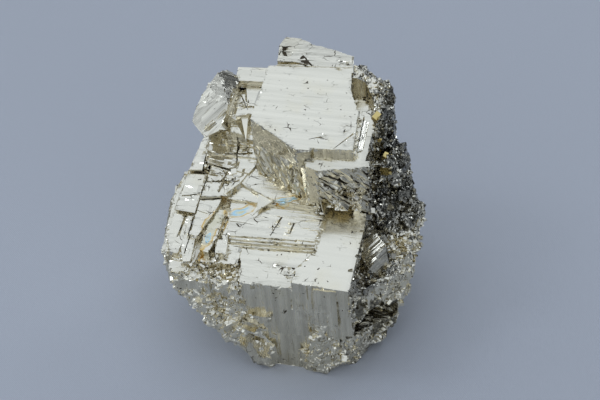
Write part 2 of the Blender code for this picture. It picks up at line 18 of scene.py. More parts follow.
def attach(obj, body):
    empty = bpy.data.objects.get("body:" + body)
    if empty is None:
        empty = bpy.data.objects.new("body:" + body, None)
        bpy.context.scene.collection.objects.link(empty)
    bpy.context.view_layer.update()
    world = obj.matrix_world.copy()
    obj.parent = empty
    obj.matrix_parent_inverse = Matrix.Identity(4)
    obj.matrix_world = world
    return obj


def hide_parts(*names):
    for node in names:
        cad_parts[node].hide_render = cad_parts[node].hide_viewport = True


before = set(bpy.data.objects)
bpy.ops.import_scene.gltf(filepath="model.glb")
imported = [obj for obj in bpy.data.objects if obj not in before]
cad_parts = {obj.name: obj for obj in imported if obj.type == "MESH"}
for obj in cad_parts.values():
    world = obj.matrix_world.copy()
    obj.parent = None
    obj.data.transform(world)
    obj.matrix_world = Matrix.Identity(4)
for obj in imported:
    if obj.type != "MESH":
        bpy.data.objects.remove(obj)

bl_info = {
    "name": "Pyrite Specimen",
    "version": (1, 0, 0),
    "blender": (4, 5, 0),
    "location": "3D View > Sidebar > Pyrite",
    "description": "Builds the surface of a pyrite crystal cluster and the table it is shown on",
    "category": "Add Mesh",
}

MM = 0.001

LATTICE_ORIGIN = Vector((1.35, -26.02, 27.5))
LATTICE = Euler([math.radians(a) for a in (8.7, -2.1, -11.4)]).to_matrix()
AXIS_U, AXIS_V, AXIS_W = (LATTICE.col[i].copy() for i in range(3))

# The camera: its aim and distance in millimetres, its pitch, its lens and the picture's size in pixels.
AIM = Vector((1.35, -15.35, 40.216))
DISTANCE = 500.0
PITCH = math.radians(40.0)
LENS = 150.0
SENSOR = 36.0
PICTURE = (600.0, 400.0)
BACK = Vector((0.0, -math.cos(PITCH), math.sin(PITCH)))
RIGHT = Vector((1.0, 0.0, 0.0))
UP = Vector((0.0, math.sin(PITCH), math.cos(PITCH)))
EYE = AIM + BACK * DISTANCE

# Faces of the solid over these areas, in square millimetres, and this flat, in millimetres, are crystal
# faces, and the rest is broken mass. A crystal of its own direction has only its larger faces counted.
SMALLEST_FACET = 2.0
SMALLEST_OWN_FACET = 7.0
SMALLEST_SEEN_FACET = 1.2
NO_FACET = 1000.0
LARGEST_KNOB_FACET = 25.0
FLATNESS = 0.03
# Edges shorter than this, in millimetres, are taken out of the finished mesh.
THINNEST = 0.003
# A cut this near to a corner, in millimetres, goes through the corner.
NEAR = 0.02
# Crystal faces with ribs over this height, in millimetres, are cut finer.
HIGH_RIB = 0.1
# Neighbouring faces whose directions differ by less than this are one face.
FLAT_WITHIN = math.radians(1.6)
# How far a face may lean from the lattice and still belong to it, and how near the directions of two faces
# are when a point that they share rises for only one of them, as cosines.
ON_LATTICE = math.cos(math.radians(14.0))
SAME_WAY = math.cos(math.radians(24.0))
TOP, FRONT, SIDE, OWN, REST = "top", "front", "side", "own", "rest"
# The face that the specimen rests on points down by this much, and lies under this height in millimetres.
DOWNWARD = -0.995
REST_HEIGHT = 0.2
# The bright right-hand crystal's top is turned from the lattice by more than this cosine says.
BRIGHT_TURN = 0.9985
# The mass of the right side and of the slab start here along u, and end here along v with the left side's.
RIGHT_MASS, SLAB_MASS = 8.5, -4.0
RIGHT_END, SLAB_END, LEFT_END = 50.0, 16.0, 22.0


class Style(NamedTuple):
    """Relief of a crystal face in millimetres, and how strongly its finish shows each effect.

    Ribs stand spacing apart and rib high, growth lines line high and low steps step high, and length is how
    far a rib runs before it changes.
    """

    spacing: float
    rib: float
    line: float
    step: float
    length: float
    warm: float = 0.0
    # Painted shade: how far the face's colour turns to the dark shade metal.
    dark: float = 0.0
    crack: float = 0.0
    film: float = 0.0
    lean: float = 0.0
    groove: float = 0.0
    fine: float = 1.0


STYLES = {
    "top": Style(1.9, 0.009, 0.003, 0.07, 16.0, crack=0.12, lean=0.8, fine=0.45),
    "ledge": Style(1.9, 0.009, 0.003, 0.06, 10.0, crack=0.05, lean=2.6, fine=0.5),
    "tread": Style(1.7, 0.012, 0.004, 0.12, 14.0, crack=0.30, film=1.0, lean=1.6, fine=0.55),
    "summit": Style(1.6, 0.03, 0.005, 0.14, 9.0, crack=0.55, lean=-0.6, fine=0.9),
    "mosaic": Style(1.3, 0.010, 0.003, 0.05, 6.0, crack=0.20, film=1.0, lean=1.25, fine=0.35),
    "bright": Style(2.4, 0.006, 0.001, 0.0, 18.0, lean=1.1, fine=0.12),
    "front": Style(1.1, 0.10, 0.010, 0.08, 14.0, fine=1.2),
    "riser": Style(0.55, 0.07, 0.008, 0.05, 14.0, warm=0.12, film=1.0, groove=0.06, fine=1.3),
    "side": Style(0.9, 0.06, 0.010, 0.08, 8.0, groove=0.05),
    "own": Style(0.9, 0.06, 0.008, 0.06, 8.0, warm=0.1),
    "smooth": Style(2.2, 0.03, 0.003, 0.03, 10.0, warm=0.1, fine=0.6),
    "tilted": Style(1.2, 0.09, 0.012, 0.08, 5.0, crack=0.15, groove=0.16, fine=1.7),
    # The slot's inside is painted dark: painted shade for the recess.
    "cavity": Style(0.9, 0.30, 0.03, 0.2, 3.0, warm=1.0, dark=0.85, groove=0.5),
    "ribbed": Style(0.62, 0.075, 0.010, 0.0, 14.0, groove=0.15),
    "streaks": Style(1.0, 0.46, 0.020, 0.10, 5.0, warm=0.7, groove=0.45),
    "hatch": Style(0.80, 0.46, 0.030, 0.12, 4.0, warm=0.1, dark=0.05, groove=1.0),
}


ANYWHERE = (-99.0, 99.0)


class Region(NamedTuple):
    """A style for the faces in a box of the lattice, given from low to high along u, v and w."""

    style: str
    u: tuple = ANYWHERE
    v: tuple = ANYWHERE
    w: tuple = ANYWHERE

    def holds(self, place):
        return all(low < part < high for (low, high), part in zip(self[1:], place))


BRIGHT_FACE = Region("bright", u=(-1.8, 99.0), v=(-99.0, 20.0), w=(-1.7, 0.6))
RISERS = Region("riser", u=(-99.0, 1.5), v=(2.0, 99.0), w=(-4.0, 99.0))
# The first of these that holds a top face gives its style.
TOP_REGIONS = (
    Region("mosaic", u=(-99.0, -15.0), v=(2.0, 41.0)),
    Region("summit", v=(42.5, 99.0), w=(15.8, 99.0)),
    Region("tread", w=(-99.0, 12.0)),
    Region("ledge", w=(-99.0, 14.0)),
)


class Seen(NamedTuple):
    """A style for the faces seen in a box of the picture, with the way their growth lines run there."""

    style: str
    box: tuple
    line_right: float
    line_down: float


# Boxes of the picture are given by their left, top, right and bottom pixels.
TILTED_END = Seen("ribbed", (216, 66, 247, 90), 25.0, 6.6)
TILTED_FACE = Seen("tilted", (196, 90, 232, 142), 12.0, -11.0)
NOTCH_FACE = Seen("ribbed", (355, 226, 387, 270), 10.0, -9.0)
HATCHED_WALL = Seen("hatch", (321, 168, 368, 203), 8.1, 4.9)
APRON_RIGHT = Seen("smooth", (303, 168, 334, 212), 1.0, 2.0)
APRON_LEFT = Seen("streaks", (258, 153, 312, 203), 8.4, 15.3)
SEEN = (TILTED_END, TILTED_FACE, NOTCH_FACE, HATCHED_WALL, APRON_RIGHT, APRON_LEFT)

SLOT_BOX = (343, 301, 396, 334)
# Smaller crystal faces in this box are broken up with the mass.
KNOB_BOX = (217, 249, 250, 292)
# The mass in this box carries on the steep front face and has its growth lines.
SHEET_BOX = (240, 288, 306, 374)
# These stretch back so far along v.
SLOT_DEPTH, KNOB_DEPTH, SHEET_DEPTH = 12.0, 10.0, 16.0

# Above this line of the picture the crown's left wall is a smooth bevel, and below it is streaked.
BEVEL_FOOT = ((236, 138), (250, 144), (262, 149), (275, 154), (285, 158), (299, 168), (312, 176))

# Strokes of the thin tarnish film: both ends in the picture's pixels, half the width in millimetres, and how
# deep into the colours of the film the middle goes.
FILM_STROKES = (
    (267, 208, 304, 187, 1.05, 1.0),
    (226, 223, 257, 206, 1.5, 0.95),
    (204, 246, 213, 230, 0.85, 0.9),
    (197, 257, 227, 205, 2.1, 0.26),
)
# The film's colours from its edge to its middle.
FILM_TINTS = (
    (0.0, (0.79, 0.70, 0.50, 1.0)), (1.0, (0.60, 0.66, 0.50, 1.0)), (0.10, (0.62, 0.40, 0.11, 1.0)),
    (0.20, (0.74, 0.62, 0.38, 1.0)), (0.34, (0.60, 0.64, 0.55, 1.0)), (0.48, (0.39, 0.61, 0.70, 1.0)),
    (0.60, (0.55, 0.64, 0.56, 1.0)), (0.72, (0.66, 0.60, 0.36, 1.0)), (0.84, (0.45, 0.60, 0.66, 1.0)),
)

# Worn and chipped places: the picture's pixels, the radius there, and how strong they are.
WORN_SPOTS = (
    (346, 130, 6, 0.6), (347, 143, 5, 0.5), (343, 64, 8, 0.8), (284, 52, 8, 0.7), (303, 54, 9, 0.5),
    (294, 67, 6, 0.6), (323, 137, 5, 0.7), (307, 131, 3, 0.8), (246, 104, 5, 0.8), (276, 226, 4, 0.9),
    (289, 233, 4, 0.6), (279, 265, 8, 0.9), (291, 274, 8, 0.9), (276, 287, 8, 0.6), (256, 284, 9, 0.6),
    (232, 180, 8, 0.8), (226, 172, 7, 0.6), (219, 178, 6, 0.6), (318, 318, 15, 0.4), (300, 309, 9, 0.3),
    (336, 330, 9, 0.35), (258, 320, 12, 0.4), (268, 124, 6, 0.35), (321, 209, 7, 0.8),
)

# Golden crystals in the dark crevice on the right: the picture's pixels, and their sizes in millimetres.
CREVICE_CRYSTALS = ((375.6, 118.0, 1.3), (385.0, 157.6, 1.2), (386.4, 174.4, 1.5), (379.0, 140.0, 0.9))
CRYSTALS_IN_A_GROUP = 3

# Colours of the golden crystals and of the dark metal of the painted shade, and how deep a pit or crack
# looks, in metres.
GOLD = (0.72, 0.56, 0.22, 1.0)
PAINTED_SHADE_METAL = (0.06, 0.058, 0.05, 1.0)
PIT_DEPTH = 0.00012


# ---------------------------------------------------------------- settings


class PyriteSurface(bpy.types.PropertyGroup):
    striation_gap: FloatProperty(
        name="Striation Gap", description="Distance from one growth line to the next",
        default=0.00030, min=0.0001, max=0.002, precision=5, unit="LENGTH")
    striation_piece: FloatProperty(
        name="Striation Piece", description="Length of one straight piece of a growth line",
        default=0.0009, min=0.0002, max=0.005, precision=5, unit="LENGTH")
    relief: FloatProperty(
        name="Relief", description="Height of the growth lines and steps, as a share of their usual height",
        default=1.0, min=0.0, max=3.0)
    edge_chip: FloatProperty(
        name="Edge Chip", description="How far crystal edges are chipped back",
        default=0.00030, min=0.0, max=0.002, precision=5, unit="LENGTH")
    grain_edge: FloatProperty(
        name="Grain Edge", description="Longest mesh edge on the broken mass",
        default=0.00052, min=0.0002, max=0.004, precision=5, unit="LENGTH")
    druse_count: IntProperty(
        name="Small Crystals", description="Number of small crystals that stand on the broken mass",
        default=1800, min=0, max=5000)


class PyriteFinish(bpy.types.PropertyGroup):
    metal: FloatVectorProperty(
        name="Metal", description="Colour of clean pyrite", subtype="COLOR", size=4,
        default=(0.775, 0.72, 0.575, 1.0), min=0.0, max=1.0)
    metal_warm: FloatVectorProperty(
        name="Warm Metal", description="Colour of the yellower patches", subtype="COLOR", size=4,
        default=(0.74, 0.655, 0.44, 1.0), min=0.0, max=1.0)
    oxide: FloatVectorProperty(
        name="Oxide", description="Colour of the brown oxide in pits and cracks", subtype="COLOR", size=4,
        default=(0.085, 0.067, 0.042, 1.0), min=0.0, max=1.0)


class PyriteStage(bpy.types.PropertyGroup):
    cloth: FloatVectorProperty(
        name="Cloth", description="Colour of the cloth on the table", subtype="COLOR", size=4,
        default=(0.475, 0.485, 0.50, 1.0), min=0.0, max=1.0)
    box_power: FloatProperty(
        name="Soft Box", description="Power of the large light over the table",
        default=0.10, min=0.0, unit="POWER")
    front_power: FloatProperty(
        name="Front Light", description="Power of the weak light in front",
        default=0.14, min=0.0, unit="POWER")
    glint_power: FloatProperty(
        name="Glints", description="Power of each small light that makes the crystals sparkle",
        default=0.23, min=0.0, unit="POWER")
    fill_strength: FloatProperty(
        name="Fill", description="Strength of the light from the room", default=1.0, min=0.0)


# ---------------------------------------------------------------- places and noise


def in_lattice(place):
    """Lattice (u, v, w) of a place in the specimen's frame, both in millimetres."""
    return LATTICE.transposed() @ (place - LATTICE_ORIGIN)


def in_picture(place):
    """Pixels to the right and down from the picture's upper left corner, for a place in millimetres."""
    off = place - EYE
    scale = LENS / SENSOR * PICTURE[0] / -off.dot(BACK)
    return PICTURE[0] / 2 + off.dot(RIGHT) * scale, PICTURE[1] / 2 - off.dot(UP) * scale


def in_box(place, box):
    """Whether a place is seen inside a box of the picture."""
    right, down = in_picture(place)
    return box[0] < right < box[2] and box[1] < down < box[3]


def picture_ray(right, down):
    """The way from the camera through a pixel of the picture."""
    scale = SENSOR / LENS / PICTURE[0]
    aside = RIGHT * (right - PICTURE[0] / 2) + UP * (PICTURE[1] / 2 - down)
    return (aside * scale - BACK).normalized()


def lies_along(normal, right, down):
    """The way in a plane that the camera sees running to the right and down by these amounts."""
    first = normal.orthogonal().normalized()
    second = normal.cross(first)
    seen = Matrix(((first.dot(RIGHT), second.dot(RIGHT)), (first.dot(UP), second.dot(UP))))
    share = seen.inverted_safe() @ Vector((right, -down))
    return (first * share.x + second * share.y).normalized()


def pick(*numbers):
    """An even random number from 0 to 1 that belongs to some whole numbers."""
    padded = (list(numbers) + [0.0, 0.0])[:3]
    return noise.cell(Vector([n * 1.37 + 0.61 for n in padded]) * 7.13)


def smooth(low, high, value):
    """Goes smoothly from 0 to 1 while a value goes from low to high."""
    share = min(1.0, max(0.0, (value - low) / (high - low)))
    return share * share * (3.0 - 2.0 * share)


def slopes(value, spacing, seed):
    """Heights from -0.5 to 0.5 at uneven places, joined by straight slopes."""
    index = math.floor(value / spacing)
    low = (index + 0.6 * pick(index, seed, 5)) * spacing
    if value < low:
        index -= 1
        high, low = low, (index + 0.6 * pick(index, seed, 5)) * spacing
    else:
        high = (index + 1 + 0.6 * pick(index + 1, seed, 5)) * spacing
    share = (value - low) / (high - low)
    return (1.0 - share) * pick(index, seed, 6) + share * pick(index + 1, seed, 6) - 0.5


# ---------------------------------------------------------------- crystal faces


class Facet:
    """One flat crystal face: its direction, style, and the directions along and across its growth lines."""

    def __init__(self, face):
        self.normal = face.normal.copy()
        self.kind = OWN
        self.area = face.calc_area()
        middle = face.calc_center_median()
        self.place = in_lattice(middle)
        if self.normal.z < DOWNWARD and middle.z < REST_HEIGHT:
            self.kind = REST
        for kind, axis, along in ((TOP, AXIS_W, AXIS_U), (FRONT, AXIS_V, AXIS_W), (SIDE, AXIS_U, AXIS_V)):
            if self.kind == OWN and abs(self.normal.dot(axis)) > ON_LATTICE:
                self.kind, self.along = kind, along
        if self.kind in (OWN, REST):
            longest = max(face.edges, key=lambda edge: round(edge.calc_length(), 4))
            self.along = (longest.verts[1].co - longest.verts[0].co).normalized()
        self.level = round(middle.dot(self.normal) * 2.0)
        self.smallest = SMALLEST_OWN_FACET if self.kind == OWN else SMALLEST_FACET
        if self.place.x > RIGHT_MASS and self.kind != REST and zone_of(middle) == "right":
            self.smallest = NO_FACET
        self.choose_style(middle)
        if self.kind in (OWN, REST):
            self.across = self.normal.cross(self.along).normalized()
        else:
            self.across = {TOP: AXIS_V, FRONT: AXIS_U, SIDE: AXIS_W}[self.kind]

    def choose_style(self, middle):
        """Takes the style of the region that holds the face, or of the box that it is seen in."""
        self.style = STYLES.get(self.kind, STYLES["own"])
        if self.kind == TOP and self.normal.z > 0.0:
            if BRIGHT_FACE.holds(self.place) and self.normal.dot(AXIS_W) < BRIGHT_TURN:
                self.style = STYLES["bright"]
            else:
                self.style = STYLES[next((part.style for part in TOP_REGIONS if part.holds(self.place)), TOP)]
        elif self.kind == FRONT and RISERS.holds(self.place):
            self.style = STYLES["riser"]
            self.kind, self.along = OWN, (AXIS_U - self.normal * AXIS_U.dot(self.normal)).normalized()
        if in_box(middle, SLOT_BOX) and self.place.y < SLOT_DEPTH:
            self.style = STYLES["cavity"]
            self.smallest = SMALLEST_SEEN_FACET
            return
        if in_box(middle, KNOB_BOX) and self.area < LARGEST_KNOB_FACET and self.place.y < KNOB_DEPTH:
            self.smallest = NO_FACET
        if self.kind == TOP or self.normal.dot(BACK) < 0.05:
            return
        for seen in SEEN:
            if in_box(middle, seen.box) and self.style != STYLES["bright"]:
                self.style = STYLES[seen.style]
                self.smallest = SMALLEST_SEEN_FACET
                if self.kind == OWN or seen.style in ("hatch", "streaks"):
                    self.kind = OWN
                    self.along = lies_along(self.normal, seen.line_right, seen.line_down)
                return


def merged_copy(node):
    """The solid's own faces in millimetres, with flat regions as single faces."""
    bm = bmesh.new()
    bm.from_mesh(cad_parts[node].data)
    bmesh.ops.scale(bm, vec=(1.0 / MM,) * 3, verts=bm.verts)
    bmesh.ops.remove_doubles(bm, verts=bm.verts, dist=0.001)
    bmesh.ops.dissolve_limit(bm, angle_limit=FLAT_WITHIN, verts=bm.verts, edges=bm.edges)
    bm.normal_update()
    return bm


def find_facets(bm):
    """Marks each crystal face with its number, from 1, and returns the facets by number."""
    layer = bm.faces.layers.int.new("facet")
    facets = [None]
    for face in bm.faces:
        middle = face.calc_center_median()
        off = max(abs((vert.co - middle).dot(face.normal)) for vert in face.verts)
        facet = Facet(face)
        if facet.area > facet.smallest and (off < FLATNESS or facet.kind == REST):
            facets.append(facet)
            face[layer] = len(facets) - 1
    return facets


def cut_places(low, high, gap):
    """Uneven distances, one in each gap, so that a growth line's number is its distance over the gap."""
    for index in range(math.floor(low / gap), math.ceil(high / gap) + 1):
        yield (index + 0.5 + 0.5 * (pick(index, 3) - 0.5)) * gap


def with_reach(faces, direction):
    """Each face with its lowest and highest place along a direction."""
    reaches = []
    for face in faces:
        places = [vert.co.dot(direction) for vert in face.verts]
        reaches.append((face, min(places), max(places)))
    return reaches


def dice(bm, faces, direction, gap):
    """Cuts faces along planes square to a direction, and returns all that they become."""
    waiting = with_reach(faces, direction)
    done = []
    if not waiting:
        return done
    low = min(start for _, start, _ in waiting)
    high = max(end for _, _, end in waiting)
    for place in cut_places(low, high, gap):
        before, after = place - NEAR, place + NEAR
        crossed = [face for face, start, end in waiting if start < before and end > after]
        if not crossed:
            continue
        cut = dict.fromkeys(crossed)
        cut.update(dict.fromkeys(edge for face in crossed for edge in face.edges))
        cut.update(dict.fromkeys(vert for face in crossed for vert in face.verts))
        parts = bmesh.ops.bisect_plane(
            bm, geom=list(cut), dist=NEAR, plane_co=direction * place, plane_no=direction)["geom"]
        rest = [reach for reach in waiting if not (reach[1] < before and reach[2] > after)]
        done.extend(face for face, _, end in rest if end <= place)
        waiting = [reach for reach in rest if reach[2] > place]
        faces = [part for part in parts if isinstance(part, bmesh.types.BMFace)]
        waiting.extend(with_reach(faces, direction))
    return done + [face for face, _, _ in waiting]


def dice_facets(bm, facets, gap, piece):
    """Cuts every crystal face along and across its growth lines, coarser where few of them stand high."""
    layer = bm.faces.layers.int["facet"]
    by_number = {face[layer]: face for face in bm.faces if face[layer]}
    for number, facet in enumerate(facets):
        if facet and facet.kind == OWN:
            coarse = 1.0 if facet.style.rib > HIGH_RIB else 1.5
            faces = dice(bm, [by_number[number]], facet.across, gap * coarse)
            dice(bm, faces, facet.along, piece * coarse)
    for kind in (TOP, FRONT, SIDE):
        faces = [face for face in bm.faces if face[layer] and facets[face[layer]].kind == kind]
        facet = next(f for f in facets if f and f.kind == kind)
        faces = dice(bm, faces, facet.across, gap)
        dice(bm, faces, facet.along, piece)


def growth_height(facet, place, gap, relief):
    """How far growth lines and low steps stand out of a crystal face at a place, in millimetres."""
    style = facet.style
    across = place.dot(facet.across)
    along = place.dot(facet.along)
    seed = facet.level
    row = math.floor(across / gap)
    group = math.floor(across / (5.0 * gap))
    part = math.floor(along / (style.length * (0.5 + pick(group, seed))) + 5.0 * pick(group, seed, 2))
    height = style.rib * slopes(across, style.spacing, seed + 3 * part)
    height += style.line * (pick(row, part, seed) - 0.5)
    band = noise.noise(Vector((across * 0.45, along * 0.05, seed * 1.7)))
    swell = noise.noise(Vector((across * 0.1, along * 0.05, seed * 2.3 + 40.0)))
    height += style.step * math.floor(band * 4.0) / 4.0 + 0.5 * style.step * swell
    if style == STYLES["mosaic"]:
        height += block_height(place)
    if style == STYLES["streaks"]:
        height *= 0.04 + 0.96 * below_bevel(place)
    return relief * height


def below_bevel(place):
    """0 on the smooth bevel of the crown's left wall, and 1 on the streaks below it."""
    right, down = in_picture(place)
    for (start, above), (end, below) in zip(BEVEL_FOOT, BEVEL_FOOT[1:]):
        if start <= right <= end:
            line = above + (below - above) * (right - start) / (end - start)
            return smooth(-1.0, 3.0, down - line)
    return 1.0


BLOCK_DEPTH = 1.9
BLOCK_WIDTH = 2.6


def block_height(place):
    """Relief of the cracked mosaic: uneven bricks, each a little higher, lower or tilted."""
    u, v, _ = in_lattice(place)
    row = math.floor(v / BLOCK_DEPTH + 0.35 * noise.noise(Vector((u * 0.25, 3.0, 7.0))))
    shifted = u + 5.0 * pick(row, 11)
    column = math.floor(shifted / BLOCK_WIDTH)
    tilt = 0.05 * (pick(column, row, 13) - 0.5) * (shifted - BLOCK_WIDTH * column - BLOCK_WIDTH / 2)
    return 0.15 * (pick(column, row, 12) - 0.5) + 0.5 * tilt


def striate(bm, facets, settings):
    """Raises growth lines on the crystal faces and chips their edges."""
    layer = bm.faces.layers.int["facet"]
    worn_layer = bm.verts.layers.float.new("worn")
    gap, chip = settings.striation_gap / MM, settings.edge_chip / MM
    moves = []
    for vert in bm.verts:
        numbers = sorted({face[layer] for face in vert.link_faces} - {0})
        if not numbers or any(facets[n].kind == REST for n in numbers):
            continue
        move = Vector()
        ways = []
        for number in numbers:
            facet = facets[number]
            if any(facet.normal.dot(way) > SAME_WAY for way in ways):
                continue
            ways.append(facet.normal)
            move += facet.normal * growth_height(facet, vert.co, gap, settings.relief)
        spot = worn_at(vert.co) if ways[0].dot(BACK) > 0.0 else 0.0
        if spot > 0.0:
            move -= ways[0] * spot * (0.10 + 0.30 * pick(*(round(c * 1.7) for c in vert.co)))
        if len(ways) > 1:
            worn = 0.45 * pick(*(round(c * 3.0) for c in vert.co)) + 0.9 * noise.noise(vert.co * 0.8)
            worn += 2.2 * max(0.0, noise.noise(vert.co * 0.33 + Vector((5.0, 1.0, 9.0))) - 0.22)
            move -= sum(ways, Vector()).normalized() * chip * max(0.0, worn)
            vert[worn_layer] = min(1.0, 0.35 + max(0.0, worn))
        moves.append((vert, move))
    for vert, move in moves:
        vert.co += move


# ---------------------------------------------------------------- broken mass


class Zone(NamedTuple):
    """How the broken mass looks in one part of the specimen.

    Large and small are the widths of its two sizes of facet in millimetres, large_lean how far a large one
    turns towards the lattice, small_share the share of small ones, grain its fine tilts, and dark how much
    of the right-hand crevice's painted shade it takes.
    """

    large: float
    large_lean: float
    small: float
    small_share: float
    grain: float
    dark: float


ZONES = {
    "right": Zone(3.1, 0.50, 1.05, 0.45, 0.58, 0.95),
    "slab": Zone(3.6, 0.32, 0.95, 0.40, 0.50, 0.10),
    "left": Zone(2.8, 0.66, 1.00, 0.50, 0.50, 0.05),
    "knob": Zone(2.3, 0.93, 0.90, 0.40, 0.30, 0.0),
    "sheet": Zone(4.8, 0.95, 1.10, 0.15, 0.10, 0.0),
    "back": Zone(3.0, 0.50, 1.20, 0.65, 0.40, 0.12),
}
SMALL_LEAN = 0.6
# How many small crystals stand in each zone, by its area and these shares.
DRUSE_SHARES = {"right": 1.3, "slab": 0.8, "left": 1.1, "knob": 1.6, "sheet": 0.0, "back": 0.8}

# The top of the slab: its level along w, its slope towards the back, and where along v it has that level.
SLAB_TOP, SLAB_SLOPE, SLAB_FROM = -10.0, 0.25, 10.0


def over_slab(v, w):
    """How far a place is above the top of the slab, along w."""
    return w - SLAB_TOP - SLAB_SLOPE * (v - SLAB_FROM)


def zone_of(place):
    """The name of the zone at a place."""
    u, v, w = in_lattice(place)
    if v < KNOB_DEPTH and in_box(place, KNOB_BOX):
        return "knob"
    if v < SHEET_DEPTH and in_box(place, SHEET_BOX):
        return "sheet"
    if u > RIGHT_MASS and over_slab(v, w) > 0.0 and v < RIGHT_END:
        return "right"
    if u > SLAB_MASS and v < SLAB_END:
        return "slab"
    return "left" if v < LEFT_END else "back"


COARSER = 1.35
MOST_HALVINGS = 5


def refine_mass(bm, longest):
    """Divides the mass until its edges are short, coarser where it faces back or down."""
    layer = bm.faces.layers.int["facet"]
    for _ in range(MOST_HALVINGS):
        edges = []
        for edge in bm.edges:
            mass = [face for face in edge.link_faces if face[layer] == 0]
            if not mass:
                continue
            hidden = all(face.normal.dot(BACK) < -0.1 or face.normal.z < -0.5 for face in mass)
            if edge.calc_length() > longest * (COARSER if hidden else 1.0):
                edges.append(edge)
        if not edges:
            break
        bmesh.ops.subdivide_edges(bm, edges=edges, cuts=1)
        mass = [face for face in bm.faces if face[layer] == 0 and len(face.verts) > 3]
        bmesh.ops.triangulate(bm, faces=mass)
        bm.normal_update()


def break_mass(verts, width, lean, share, seed):
    """Gathers points of the broken mass in cells, and lays each cell's points in one slanted facet."""
    cells = {}
    for vert in verts:
        nearest = noise.voronoi(LATTICE.transposed() @ vert.co / width + Vector((seed, 0.0, 0.0)))[1][0]
        cells.setdefault(tuple(round(c, 3) for c in nearest), []).append(vert)
    for key, inside in cells.items():
        chance = Vector(noise.cell_vector(Vector(key) * 5.17))
        if chance.x > share:
            continue
        middle = sum((vert.co for vert in inside), Vector()) / len(inside)
        outward = sum((vert.normal for vert in inside), Vector())
        if outward.length < 0.3 * len(inside):
            continue
        outward.normalize()
        turns = noise.cell_vector(Vector(key) * 3.31 + Vector((9.0, 2.0, 5.0)))
        own = LATTICE @ Euler([1.2 * (c - 0.5) for c in turns]).to_matrix()
        axes = [own.col[i] * sign for i in range(3) for sign in (-1.0, 1.0)]
        axis = max(axes, key=outward.dot)
        way = outward.lerp(axis, lean).normalized()
        lift = (chance.y - 0.5) * width * 0.18
        for vert in inside:
            fall = (middle - vert.co).dot(way) / outward.dot(way)
            vert.co += outward * (max(-width, min(width, fall)) + lift)
            vert.co.z = max(vert.co.z, 0.02)


def break_zones(bm):
    """Breaks the mass in every zone, first in large facets and then in small ones."""
    layer = bm.faces.layers.int["facet"]
    members = {name: [] for name in ZONES}
    for vert in bm.verts:
        if vert.co.z > 0.3 and all(face[layer] == 0 for face in vert.link_faces):
            members[zone_of(vert.co)].append(vert)
    for small in (False, True):
        bm.normal_update()
        for name, verts in members.items():
            zone = ZONES[name]
            if small:
                break_mass(verts, zone.small, SMALL_LEAN, zone.small_share, 31.0)
            else:
                break_mass(verts, zone.large, zone.large_lean, 1.0, 0.0)


# ---------------------------------------------------------------- finishing a piece


def clean(bm):
    """Takes out faces with no width, and flaps of two faces that lie back to back."""
    bmesh.ops.dissolve_degenerate(bm, dist=THINNEST, edges=bm.edges)
    bmesh.ops.triangulate(bm, faces=[face for face in bm.faces if len(face.verts) > 3])
    flaps = {}
    for face in bm.faces:
        flaps.setdefault(frozenset(face.verts), []).append(face)
    doubled = [face for pair in flaps.values() if len(pair) > 1 for face in pair]
    bmesh.ops.delete(bm, geom=doubled, context="FACES")


def show(name, data):
    """Puts a new object in the scene, at the origin."""
    made = bpy.data.objects.new(name, data)
    bpy.context.scene.collection.objects.link(made)
    return made


def finish_piece(bm, name, materials):
    """Turns a bmesh in millimetres into a piece in metres, which rides on the specimen's body."""
    bmesh.ops.scale(bm, vec=(MM, MM, MM), verts=bm.verts)
    mesh = bpy.data.meshes.new(name)
    bm.to_mesh(mesh)
    bm.free()
    for material in materials:
        mesh.materials.append(material)
    piece = show(name, mesh)
    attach(piece, "root")
    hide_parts("pyrite")


def growth_map(bm, facets):
    """A UV map in metres that follows each crystal face: u along its growth lines and v across them."""
    layer = bm.faces.layers.int["facet"]
    grain = bm.loops.layers.uv.new("growth")
    for face in bm.faces:
        facet = facets[face[layer]]
        along, across = (facet.along, facet.across) if facet else (AXIS_W, AXIS_U)
        shift = facet.level * 0.013 if facet else 0.0
        for loop in face.loops:
            place = loop.vert.co * MM
            loop[grain].uv = (place.dot(along) + shift, place.dot(across) + shift)


def worn_at(place):
    """How worn and chipped the surface is at a place, from 0 to 1."""
    seen = Vector(in_picture(place))
    strength = 0.0
    for right, down, radius, strongest in WORN_SPOTS:
        gap = (seen - Vector((right, down))).length / radius
        if gap < 1.3:
            ragged = gap + 0.5 * noise.noise(place * 0.9)
            strength = max(strength, strongest * smooth(1.0, 0.55, ragged))
    return strength


def film_marks(tree):
    """Where each stroke of the film lies: its place, turn and half sizes, in metres, and its depth."""
    marks = []
    for left, low, right, high, half_width, depth in FILM_STROKES:
        ends = [tree.ray_cast(EYE, picture_ray(*end))[0] for end in ((left, low), (right, high))]
        if None in ends:
            raise RuntimeError("no place for a film stroke")
        run = ends[1] - ends[0]
        run -= AXIS_W * run.dot(AXIS_W)
        turn = Matrix((run.normalized(), AXIS_W.cross(run).normalized(), AXIS_W)).transposed()
        size = Vector((run.length / 2, half_width, 3.0)) * MM
        marks.append(((ends[0] + ends[1]) / 2 * MM, turn.to_euler(), size, depth))
    return marks


# Of these masks, dark is painted shade.
MASKS = ("warm", "dark", "crack", "film", "grain", "lean", "groove", "fine")


def mean(numbers):
    return sum(numbers) / len(numbers)


def crystal_masks(place, styles, chipped, shade):
    """The masks at a place on crystal faces of these styles."""
    worn = worn_at(place)
    averaged = ("warm", "crack", "groove", "fine")
    values = {name: mean([getattr(style, name) for style in styles]) for name in averaged}
    values["crack"] += 0.9 * worn
    # Painted shade: the strongest of the styles' and a weaker share of the crevice's.
    values["dark"] = max([style.dark for style in styles] + [0.3 * shade])
    values["film"] = max(style.film for style in styles)
    values["grain"] = max(0.8 * chipped, 0.5 * worn)
    values["lean"] = styles[0].lean if len(set(styles)) == 1 else 0.0
    if STYLES["streaks"] in styles:
        below = below_bevel(place)
        values["warm"] *= 0.12 + 0.88 * below
        values["groove"] *= below
        values["fine"] *= 0.15 + 0.85 * below
        # Painted shade: the smooth bevel above the line is darkened.
        values["dark"] = 0.40 * (1.0 - below)
    return values


